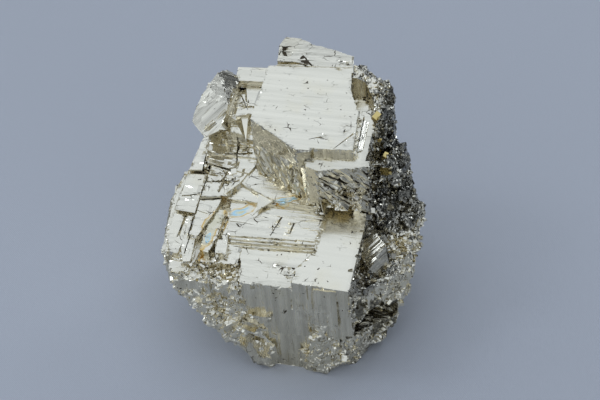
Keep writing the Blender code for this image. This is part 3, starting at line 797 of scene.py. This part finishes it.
def finish_masks(bm, facets):
    """Stores on every point how strongly its surface shows each of the effects in MASKS."""
    layer = bm.faces.layers.int["facet"]
    worn_layer = bm.verts.layers.float["worn"]
    masks = {name: bm.verts.layers.float.new(name) for name in MASKS}
    for vert in bm.verts:
        styles = [facets[face[layer]].style for face in vert.link_faces if face[layer]]
        u, v, w = in_lattice(vert.co)
        zone = ZONES[zone_of(vert.co)]
        # Painted shade: the crevice on the right is painted darker from the slab's top upwards, and less so
        # towards the back.
        shade = smooth(8.8, 11.5, u) * smooth(-1.0, 4.0, over_slab(v, w)) * smooth(52.0, 44.0, v)
        if styles:
            values = crystal_masks(vert.co, styles, vert[worn_layer], shade)
        else:
            warm = 0.15 * smooth(-0.1, 0.5, noise.noise(vert.co * 0.12))
            values = {"dark": zone.dark * shade, "warm": warm, "grain": zone.grain, "fine": 1.2}
        for name, value in values.items():
            vert[masks[name]] = value


class PYRITE_OT_specimen(bpy.types.Operator):
    """Build the intergrown crystals and the broken mass from the solid's own faces"""

    bl_idname = "pyrite.specimen"
    bl_label = "Specimen"

    def execute(self, context):
        surface, finish = context.scene.pyrite_surface, context.scene.pyrite_finish
        bm = merged_copy("pyrite")
        facets = find_facets(bm)
        dice_facets(bm, facets, surface.striation_gap / MM, surface.striation_piece / MM)
        refine_mass(bm, surface.grain_edge / MM)
        bmesh.ops.triangulate(bm, faces=bm.faces)
        break_zones(bm)
        striate(bm, facets, surface)
        clean(bm)
        growth_map(bm, facets)
        finish_masks(bm, facets)
        layer = bm.faces.layers.int["facet"]
        for face in bm.faces:
            crystal = face[layer] or zone_of(face.calc_center_median()) == "sheet"
            face.material_index = 0 if crystal else 1
        tarnish_and_painted_shade(film_marks(BVHTree.FromBMesh(bm)))
        finish_piece(bm, "pyrite_specimen", [crystal_metal(finish), mass_metal(finish)])
        return {"FINISHED"}


# ---------------------------------------------------------------- small crystals


def add_crystal(bm, place, outward, size, chance):
    """Adds a small block, half sunk in the mass at a place, and returns its corners."""
    turn = Euler([0.9 * (chance.random() - 0.5) for _ in range(3)]).to_matrix()
    axes = LATTICE @ turn
    stretch = Matrix.Diagonal([size * (0.5 + 0.9 * chance.random()) for _ in range(3)])
    made = bmesh.ops.create_cube(bm, size=1.0)["verts"]
    centre = place - outward * size * 0.05
    for vert in made:
        vert.co = axes @ (stretch @ vert.co) + centre
        vert.co.z = max(vert.co.z, 0.03)
    return made


def mass_places(mesh):
    """Middle, normal and area of the specimen's broken faces, in millimetres."""
    places = []
    for face in mesh.polygons:
        if face.material_index == 1 and face.center.z > 1.5 * MM:
            places.append((face.center / MM, face.normal.copy(), face.area))
    return places


def crevice_crystals(bm, mesh, chance):
    """Adds the golden crystals where the camera sees the crevice."""
    solid = bmesh.new()
    solid.from_mesh(mesh)
    bmesh.ops.scale(solid, vec=(1.0 / MM,) * 3, verts=solid.verts)
    tree = BVHTree.FromBMesh(solid)
    solid.free()
    for right, down, size in CREVICE_CRYSTALS:
        place, outward, _, _ = tree.ray_cast(EYE, picture_ray(right, down))
        if place is None:
            raise RuntimeError("no place for a crevice crystal")
        for _ in range(CRYSTALS_IN_A_GROUP):
            off = Vector([0.6 * (chance.random() - 0.5) * size for _ in range(3)])
            add_crystal(bm, place + off, outward, size * (0.6 + 0.4 * chance.random()), chance)


class PYRITE_OT_druse(bpy.types.Operator):
    """Set small crystals on the broken mass"""

    bl_idname = "pyrite.druse"
    bl_label = "Small Crystals"

    def execute(self, context):
        count, finish = context.scene.pyrite_surface.druse_count, context.scene.pyrite_finish
        chance = random.Random(11)
        mesh = bpy.data.objects["pyrite_specimen"].data
        places = mass_places(mesh)
        shares = [area * DRUSE_SHARES[zone_of(place)] for place, _, area in places]
        bm = bmesh.new()
        dark_layer = bm.verts.layers.float.new("dark")
        for place, outward, _ in chance.choices(places, weights=shares, k=count):
            size = 0.32 + 0.75 * chance.random() ** 4
            # Painted shade: most small crystals in the crevice on the right are darkened with it.
            dull = 0.85 if zone_of(place) == "right" and chance.random() < 0.75 else 0.0
            for vert in add_crystal(bm, place, outward, size, chance):
                vert[dark_layer] = dull
        pale = len(bm.faces)
        crevice_crystals(bm, mesh, random.Random(5))
        bm.faces.ensure_lookup_table()
        for face in bm.faces[pale:]:
            face.material_index = 1
        finish_piece(bm, "pyrite_druse", [small_crystal_metal(finish), golden_metal(finish)])
        return {"FINISHED"}


# ---------------------------------------------------------------- materials


def node(tree, kind, inputs=None, **values):
    """Adds a shader node, and sets or links its inputs by name or number."""
    made = tree.nodes.new("ShaderNode" + kind)
    for name, value in values.items():
        setattr(made, name, value)
    for name, value in (inputs or {}).items():
        if isinstance(value, bpy.types.NodeSocket):
            tree.links.new(value, made.inputs[name])
        else:
            made.inputs[name].default_value = value
    return made


def calc(tree, operation, first, second=0.0, clamp=False):
    """One sum on numbers."""
    return node(tree, "Math", {0: first, 1: second}, operation=operation, use_clamp=clamp).outputs[0]


def calc_way(tree, operation, first, second=(0.0, 0.0, 0.0)):
    """One sum on vectors, where SCALE has a number second and DOT_PRODUCT gives one."""
    inputs = {0: first, "Scale" if operation == "SCALE" else 1: second}
    return node(tree, "VectorMath", inputs, operation=operation).outputs[int(operation == "DOT_PRODUCT")]


def fade(tree, value, low, high, start=0.0, end=1.0):
    """A number that goes smoothly from start to end while a value goes from low to high."""
    inputs = {"Value": value, "From Min": low, "From Max": high, "To Min": start, "To Max": end}
    return node(tree, "MapRange", inputs, interpolation_type="SMOOTHSTEP").outputs["Result"]


def stored(tree, name):
    """A number that the piece stores on its points."""
    return node(tree, "Attribute", attribute_name=name).outputs["Fac"]


def own_place(tree):
    """A place in the piece's own frame, in metres."""
    return node(tree, "TexCoord").outputs["Object"]


def texture_noise(tree, vector, scale, detail=2.0, output="Fac"):
    return node(tree, "TexNoise", {"Vector": vector, "Scale": scale, "Detail": detail}).outputs[output]


def stretched(tree, vector, first, second):
    """A UV map with this many units to the metre along its two ways."""
    return node(tree, "Mapping", {"Vector": vector, "Scale": (first, second, 1.0)}).outputs["Vector"]


def colour_ramp(tree, value, stops):
    """The colour that a number picks from stops of (position, colour), with the two ends first."""
    ramp = node(tree, "ValToRGB", {"Fac": value})
    made = ramp.color_ramp.elements
    for position, colour in stops:
        stop = made[round(position)] if position in (0.0, 1.0) else made.new(position)
        stop.color = colour
    return ramp.outputs["Color"]


def blend(tree, share, first, second, kind="MIX"):
    """Two colours in one."""
    mixed = node(tree, "Mix", {"Factor": share}, data_type="RGBA", blend_type=kind)
    for socket, value in ((mixed.inputs[6], first), (mixed.inputs[7], second)):
        if isinstance(value, bpy.types.NodeSocket):
            tree.links.new(value, socket)
        else:
            socket.default_value = value
    return mixed.outputs[2]


def new_group(name, inputs, outputs):
    """An empty group of shader nodes with numbers or colours coming in and going out."""
    tree = bpy.data.node_groups.new(name, "ShaderNodeTree")
    for sockets, way in ((inputs, "INPUT"), (outputs, "OUTPUT")):
        for label, kind in sockets.items():
            tree.interface.new_socket(label, in_out=way, socket_type=kind)
    return tree, tree.nodes.new("NodeGroupInput").outputs, tree.nodes.new("NodeGroupOutput").inputs


NUMBER, COLOUR, WAY = "NodeSocketFloat", "NodeSocketColor", "NodeSocketVector"


def fine_grain():
    """Tilts the surface in small flat cells, as tiny crystals do, and leans it as fine growth lines do."""
    inputs = {"Amount": NUMBER, "Cells": NUMBER, "Lean": NUMBER}
    tree, given, out = new_group("fine_grain", inputs, {"Normal": WAY})
    where = own_place(tree)
    cells = node(tree, "TexVoronoi", {"Vector": where, "Scale": given["Cells"]}).outputs["Color"]
    coarse = calc(tree, "MULTIPLY", given["Cells"], 0.37)
    wide = node(tree, "TexVoronoi", {"Vector": where, "Scale": coarse}).outputs["Color"]
    centred = calc_way(tree, "SUBTRACT", calc_way(tree, "ADD", cells, wide), (1.0, 1.0, 1.0))
    tilt = calc_way(tree, "SCALE", centred, given["Amount"])
    lean = calc_way(tree, "SCALE", tuple(-0.13 * AXIS_V), given["Lean"])
    tilted = calc_way(tree, "ADD", node(tree, "NewGeometry").outputs["Normal"], tilt)
    tilted = calc_way(tree, "NORMALIZE", calc_way(tree, "ADD", tilted, lean))
    tree.links.new(tilted, out["Normal"])
    return tree


def small_pits():
    """Small sharp-edged pits, 1 inside one and 0 outside."""
    tree, given, out = new_group("small_pits", {"Share": NUMBER}, {"Mask": NUMBER})
    where = own_place(tree)
    spots = texture_noise(tree, where, 1500.0, 3.0)
    areas = texture_noise(tree, where, 170.0, 1.0)
    level = calc(tree, "ADD", calc(tree, "MULTIPLY", areas, 0.35), spots)
    limit = calc(tree, "SUBTRACT", 0.98, calc(tree, "MULTIPLY", given["Share"], 0.22))
    tree.links.new(fade(tree, calc(tree, "SUBTRACT", level, limit), 0.0, 0.03), out["Mask"])
    return tree


def film_strength(tree, where, marks):
    """How deep a place is inside the nearest stroke of the film, from 0 to 1."""
    deepest = 0.0
    for place, turn, size, depth in marks:
        inputs = {"Vector": where, "Location": place, "Rotation": turn, "Scale": size}
        local = node(tree, "Mapping", inputs, vector_type="TEXTURE").outputs["Vector"]
        inside = node(tree, "TexGradient", {"Vector": local}, gradient_type="SPHERICAL").outputs["Fac"]
        deepest = calc(tree, "MAXIMUM", calc(tree, "MINIMUM", inside, depth), deepest)
    return deepest


def tarnish_and_painted_shade(marks):
    """The metal's colour, with warmer patches, painted shade, oxide in the pits and the thin rainbow film."""
    inputs = {"Metal": COLOUR, "Warm Metal": COLOUR, "Oxide": COLOUR, "Pits": NUMBER}
    tree, given, out = new_group("tarnish_and_painted_shade", inputs, {"Color": COLOUR})
    where = own_place(tree)
    warm = calc(tree, "MULTIPLY", stored(tree, "warm"), 0.8)
    patches = fade(tree, texture_noise(tree, where, 160.0), 0.5, 0.75, 0.0, 0.28)
    colour = blend(tree, calc(tree, "ADD", warm, patches, clamp=True), given["Metal"], given["Warm Metal"])
    cells = node(tree, "TexVoronoi", {"Vector": where, "Scale": 2500.0}).outputs["Color"]
    # Painted shade: where the dark mask is stored the metal turns to the dark shade colour, less so in a few
    # cells that stay bright.
    shade_by_cell = fade(tree, node(tree, "SeparateColor", {0: cells}).outputs["Red"], 0.76, 0.9, 0.9, 0.2)
    colour = blend(tree, calc(tree, "MULTIPLY", stored(tree, "dark"), shade_by_cell), colour, PAINTED_SHADE_METAL)
    colour = blend(tree, given["Pits"], colour, given["Oxide"])
    wander = texture_noise(tree, where, 300.0, output="Color")
    shift = calc_way(tree, "SCALE", calc_way(tree, "ADD", wander, (-0.5, -0.5, -0.5)), 0.0022)
    thick = film_strength(tree, calc_way(tree, "ADD", where, shift), marks)
    shown = calc(tree, "MULTIPLY", fade(tree, thick, 0.0, 0.08), stored(tree, "film"), clamp=True)
    patchy = fade(tree, texture_noise(tree, where, 520.0), 0.32, 0.5, 0.25, 1.0)
    shown = calc(tree, "MULTIPLY", shown, patchy)
    tree.links.new(blend(tree, shown, colour, colour_ramp(tree, thick, FILM_TINTS)), out["Color"])
    return tree


def group_node(tree, name, make, inputs):
    """A node of the group of this name, which is made at its first use."""
    return node(tree, "Group", inputs, node_tree=bpy.data.node_groups.get(name) or make())


def new_material(name):
    """An empty material, its tree and its shader."""
    material = bpy.data.materials.new(name)
    material.use_nodes = True
    tree = material.node_tree
    return material, tree, tree.nodes["Principled BSDF"]


def new_metal(name, finish, metal, pit_share):
    """A metal with the shared colours: it, its tree, its shader, its pits' mask and its colour node."""
    material, tree, shader = new_material(name)
    shader.inputs["Metallic"].default_value = 1.0
    pits = group_node(tree, "small_pits", small_pits, {"Share": pit_share}).outputs["Mask"]
    inputs = {"Metal": metal, "Warm Metal": finish.metal_warm, "Oxide": finish.oxide}
    colour = node(tree, "Group", inputs, node_tree=bpy.data.node_groups["tarnish_and_painted_shade"])
    return material, tree, shader, pits, colour


def tilt_surface(tree, shader, cells, height, lean=0.0):
    """Gives a shader the fine grain, with this many cells to the metre, and dents."""
    inputs = {"Amount": stored(tree, "grain"), "Cells": cells, "Lean": lean}
    grain = group_node(tree, "fine_grain", fine_grain, inputs).outputs["Normal"]
    inputs = {"Strength": 1.0, "Distance": PIT_DEPTH, "Height": height, "Normal": grain}
    tree.links.new(node(tree, "Bump", inputs).outputs["Normal"], shader.inputs["Normal"])


def cracks(tree, along):
    """Right-angled cracks on a crystal face, 1 inside one, more and wider where they are stored."""
    bend = calc_way(tree, "SCALE", texture_noise(tree, along, 500.0, output="Color"), 0.0012)
    square = stretched(tree, calc_way(tree, "ADD", along, bend), 330.0, 520.0)
    inputs = {"Vector": square, "Scale": 1.0, "Randomness": 0.6}
    off = node(tree, "TexVoronoi", inputs, feature="DISTANCE_TO_EDGE").outputs["Distance"]
    where = own_place(tree)
    more = calc(tree, "MULTIPLY", stored(tree, "crack"), 0.30)
    places = calc(tree, "ADD", texture_noise(tree, where, 330.0), more)
    return calc(tree, "LESS_THAN", off, fade(tree, places, 0.60, 0.90, 0.0, 0.045))


def troughs(tree, along):
    """Dark grooves along the growth lines, where they are stored."""
    thin = texture_noise(tree, stretched(tree, along, 230.0, 1500.0), 1.0)
    return calc(tree, "MULTIPLY", fade(tree, thin, 0.55, 0.62), stored(tree, "groove"))


def crystal_metal(finish):
    """Pyrite on the crystal faces: fine growth lines, small pits, cracks and grooves."""
    material, tree, shader, pits, colour = new_metal("pyrite_crystal_faces", finish, finish.metal, 0.42)
    along = node(tree, "UVMap", uv_map="growth").outputs["UV"]
    fine = stored(tree, "fine")
    lines = texture_noise(tree, stretched(tree, along, 70.0, 3400.0), 1.0, 3.0)
    bands = texture_noise(tree, stretched(tree, along, 30.0, 700.0), 1.0)
    holes = calc(tree, "MAXIMUM", calc(tree, "MAXIMUM", cracks(tree, along), pits), troughs(tree, along))
    tree.links.new(holes, colour.inputs["Pits"])
    # Painted reflection: bands along the growth lines are made lighter and darker in colour.
    shade = calc(tree, "MULTIPLY", fade(tree, bands, 0.25, 0.75, -0.17, 0.10), fine)
    shaded = blend(tree, 1.0, colour.outputs["Color"], calc(tree, "ADD", 1.0, shade), "MULTIPLY")
    tree.links.new(shaded, shader.inputs["Base Color"])
    rough = calc(tree, "ADD", calc(tree, "MULTIPLY", fade(tree, lines, 0.3, 0.7, 0.0, 0.12), fine), 0.16)
    rough = calc(tree, "ADD", rough, calc(tree, "MULTIPLY", holes, 0.4))
    tree.links.new(rough, shader.inputs["Roughness"])
    height = calc(tree, "MULTIPLY", calc(tree, "MULTIPLY", lines, fine), 0.28)
    tilt_surface(tree, shader, 2400.0, calc(tree, "SUBTRACT", height, holes), stored(tree, "lean"))
    return material


def grainy_metal(name, finish, metal, cells, pit_share, rough):
    """Pyrite in tiny flat cells, with pits."""
    material, tree, shader, pits, colour = new_metal(name, finish, metal, pit_share)
    tree.links.new(pits, colour.inputs["Pits"])
    tree.links.new(colour.outputs["Color"], shader.inputs["Base Color"])
    where = own_place(tree)
    dull = fade(tree, texture_noise(tree, where, 350.0), 0.35, 0.7, rough, rough + 0.14)
    tree.links.new(dull, shader.inputs["Roughness"])
    tilt_surface(tree, shader, cells, calc(tree, "MULTIPLY", pits, -1.0))
    return material


def mass_metal(finish):
    """Pyrite on the broken mass."""
    return grainy_metal("pyrite_broken_mass", finish, finish.metal, 2300.0, 0.5, 0.10)


def small_crystal_metal(finish):
    """Bright pyrite on the small crystals."""
    return grainy_metal("pyrite_small_crystals", finish, finish.metal, 900.0, 0.3, 0.09)


def golden_metal(finish):
    """Golden pyrite on the crystals in the crevice."""
    return grainy_metal("pyrite_golden_crystals", finish, GOLD, 900.0, 0.3, 0.2)


def cloth_material(colour):
    """Plain fine cloth on the table."""
    material, tree, shader = new_material("table_cloth")
    where = own_place(tree)
    turned = node(tree, "Mapping", {"Vector": where, "Rotation": (0.0, 0.0, 0.9)}).outputs["Vector"]
    inputs = {"Vector": turned, "Scale": 950.0, "Distortion": 1.2, "Detail": 1.0}
    warp, weft = (node(tree, "TexWave", inputs, bands_direction=way).outputs["Fac"] for way in ("X", "Y"))
    weave = calc(tree, "MULTIPLY", calc(tree, "ADD", warp, weft), 0.5)
    fibre = texture_noise(tree, where, 2600.0)
    height = calc(tree, "ADD", weave, calc(tree, "MULTIPLY", fibre, 0.6))
    shade = fade(tree, height, 0.4, 1.2, 0.90, 1.08)
    tree.links.new(blend(tree, 1.0, colour, shade, "MULTIPLY"), shader.inputs["Base Color"])
    bump = node(tree, "Bump", {"Strength": 0.35, "Distance": 0.00008, "Height": height})
    tree.links.new(bump.outputs["Normal"], shader.inputs["Normal"])
    shader.inputs["Roughness"].default_value = 0.9
    shader.inputs["Specular IOR Level"].default_value = 0.2
    return material


# ---------------------------------------------------------------- stage


def soft_box(name, place, target, width, height, power):
    """A flat soft light, with place and target in metres."""
    lamp = bpy.data.lights.new(name, "AREA")
    lamp.shape = "RECTANGLE"
    lamp.size, lamp.size_y = width, height
    lamp.energy = power
    lamp.color = ROOM_COLOUR
    light = show(name, lamp)
    light.location = place
    light.rotation_euler = (Vector(target) - Vector(place)).to_track_quat("-Z", "Y").to_euler()
    light.visible_camera = False


# Light of the room by the cosine from the way overhead: position on the ramp, and brightness.
OVERHEAD = Vector((-0.04, 0.10, 0.99)).normalized()
ROOM_COLOUR = (0.74, 0.83, 0.99)
ROOM_RAMP = ((1.0, 1.02), (0.0, 0.30), (0.42, 0.66), (0.60, 0.74), (0.80, 0.86))
DIM_SIDE = Vector((0.93, 0.25, 0.12)).normalized()
MIDDLE = (0.0, 0.0, 0.03)


def room_light(strength):
    """The light of the room: bright overhead, dimmer at the horizon, dark on the right."""
    world = bpy.data.worlds.new("room")
    world.use_nodes = True
    tree = world.node_tree
    background = tree.nodes["Background"]
    background.inputs["Strength"].default_value = strength
    where = node(tree, "TexCoord").outputs["Generated"]
    height = calc(tree, "ADD", calc_way(tree, "DOT_PRODUCT", where, OVERHEAD), 1.0)
    stops = [(position, [level * part for part in ROOM_COLOUR] + [1.0]) for position, level in ROOM_RAMP]
    light = colour_ramp(tree, calc(tree, "MULTIPLY", height, 0.5), stops)
    dim = fade(tree, calc_way(tree, "DOT_PRODUCT", where, DIM_SIDE), 0.38, 0.80, 1.0, 0.07)
    tree.links.new(blend(tree, 1.0, light, dim, "MULTIPLY"), background.inputs["Color"])
    bpy.context.scene.world = world


def camera():
    """Looks down on the specimen from the front, at forty degrees."""
    lens = bpy.data.cameras.new("camera")
    lens.lens = LENS
    lens.sensor_width = SENSOR
    lens.clip_start = 0.01
    eye = show("camera", lens)
    eye.location = EYE * MM
    eye.rotation_euler = (-BACK).to_track_quat("-Z", "Y").to_euler()
    bpy.context.scene.camera = eye


def table(colour):
    """The cloth-covered table."""
    bm = bmesh.new()
    bmesh.ops.create_grid(bm, x_segments=8, y_segments=8, size=2.0)
    mesh = bpy.data.meshes.new("table")
    bm.to_mesh(mesh)
    bm.free()
    mesh.materials.append(cloth_material(colour))
    obj = show("table", mesh)


class PYRITE_OT_stage(bpy.types.Operator):
    """Build the table, the lights and the camera"""

    bl_idname = "pyrite.stage"
    bl_label = "Stage"

    def execute(self, context):
        stage = context.scene.pyrite_stage
        table(stage.cloth)
        room_light(stage.fill_strength)
        soft_box("soft_box", (-0.06, 0.23, 0.54), MIDDLE, 0.55, 0.40, stage.box_power)
        soft_box("front_light", (-0.20, -0.50, 0.32), (0.0, 0.0, 0.0), 0.40, 0.25, stage.front_power)
        for place in ((-0.36, -0.06, 0.45), (0.30, 0.30, 0.42)):
            soft_box("glint", place, MIDDLE, 0.12, 0.12, stage.glint_power)
        camera()
        context.scene.view_settings.view_transform = "Standard"
        return {"FINISHED"}


class PYRITE_PT_panel(bpy.types.Panel):
    """Lists the settings and the builders of the pyrite specimen"""

    bl_idname = "PYRITE_PT_panel"
    bl_label = "Pyrite Specimen"
    bl_space_type = "VIEW_3D"
    bl_region_type = "UI"
    bl_category = "Pyrite"

    def draw(self, context):
        for group in ("pyrite_surface", "pyrite_finish", "pyrite_stage"):
            settings = getattr(context.scene, group)
            for name in settings.__annotations__:
                self.layout.prop(settings, name)
        for operator in (PYRITE_OT_specimen, PYRITE_OT_druse, PYRITE_OT_stage):
            self.layout.operator(operator.bl_idname)


CLASSES = (PyriteSurface, PyriteFinish, PyriteStage, PYRITE_OT_specimen, PYRITE_OT_druse, PYRITE_OT_stage,
           PYRITE_PT_panel)


def register():
    for cls in CLASSES:
        bpy.utils.register_class(cls)
    bpy.types.Scene.pyrite_surface = PointerProperty(type=PyriteSurface)
    bpy.types.Scene.pyrite_finish = PointerProperty(type=PyriteFinish)
    bpy.types.Scene.pyrite_stage = PointerProperty(type=PyriteStage)


def unregister():
    del bpy.types.Scene.pyrite_stage
    del bpy.types.Scene.pyrite_finish
    del bpy.types.Scene.pyrite_surface
    for cls in reversed(CLASSES):
        bpy.utils.unregister_class(cls)


def main():
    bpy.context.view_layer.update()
    register()
    bpy.ops.pyrite.stage()
    bpy.ops.pyrite.specimen()
    bpy.ops.pyrite.druse()


if __name__ == "__main__":
    main()
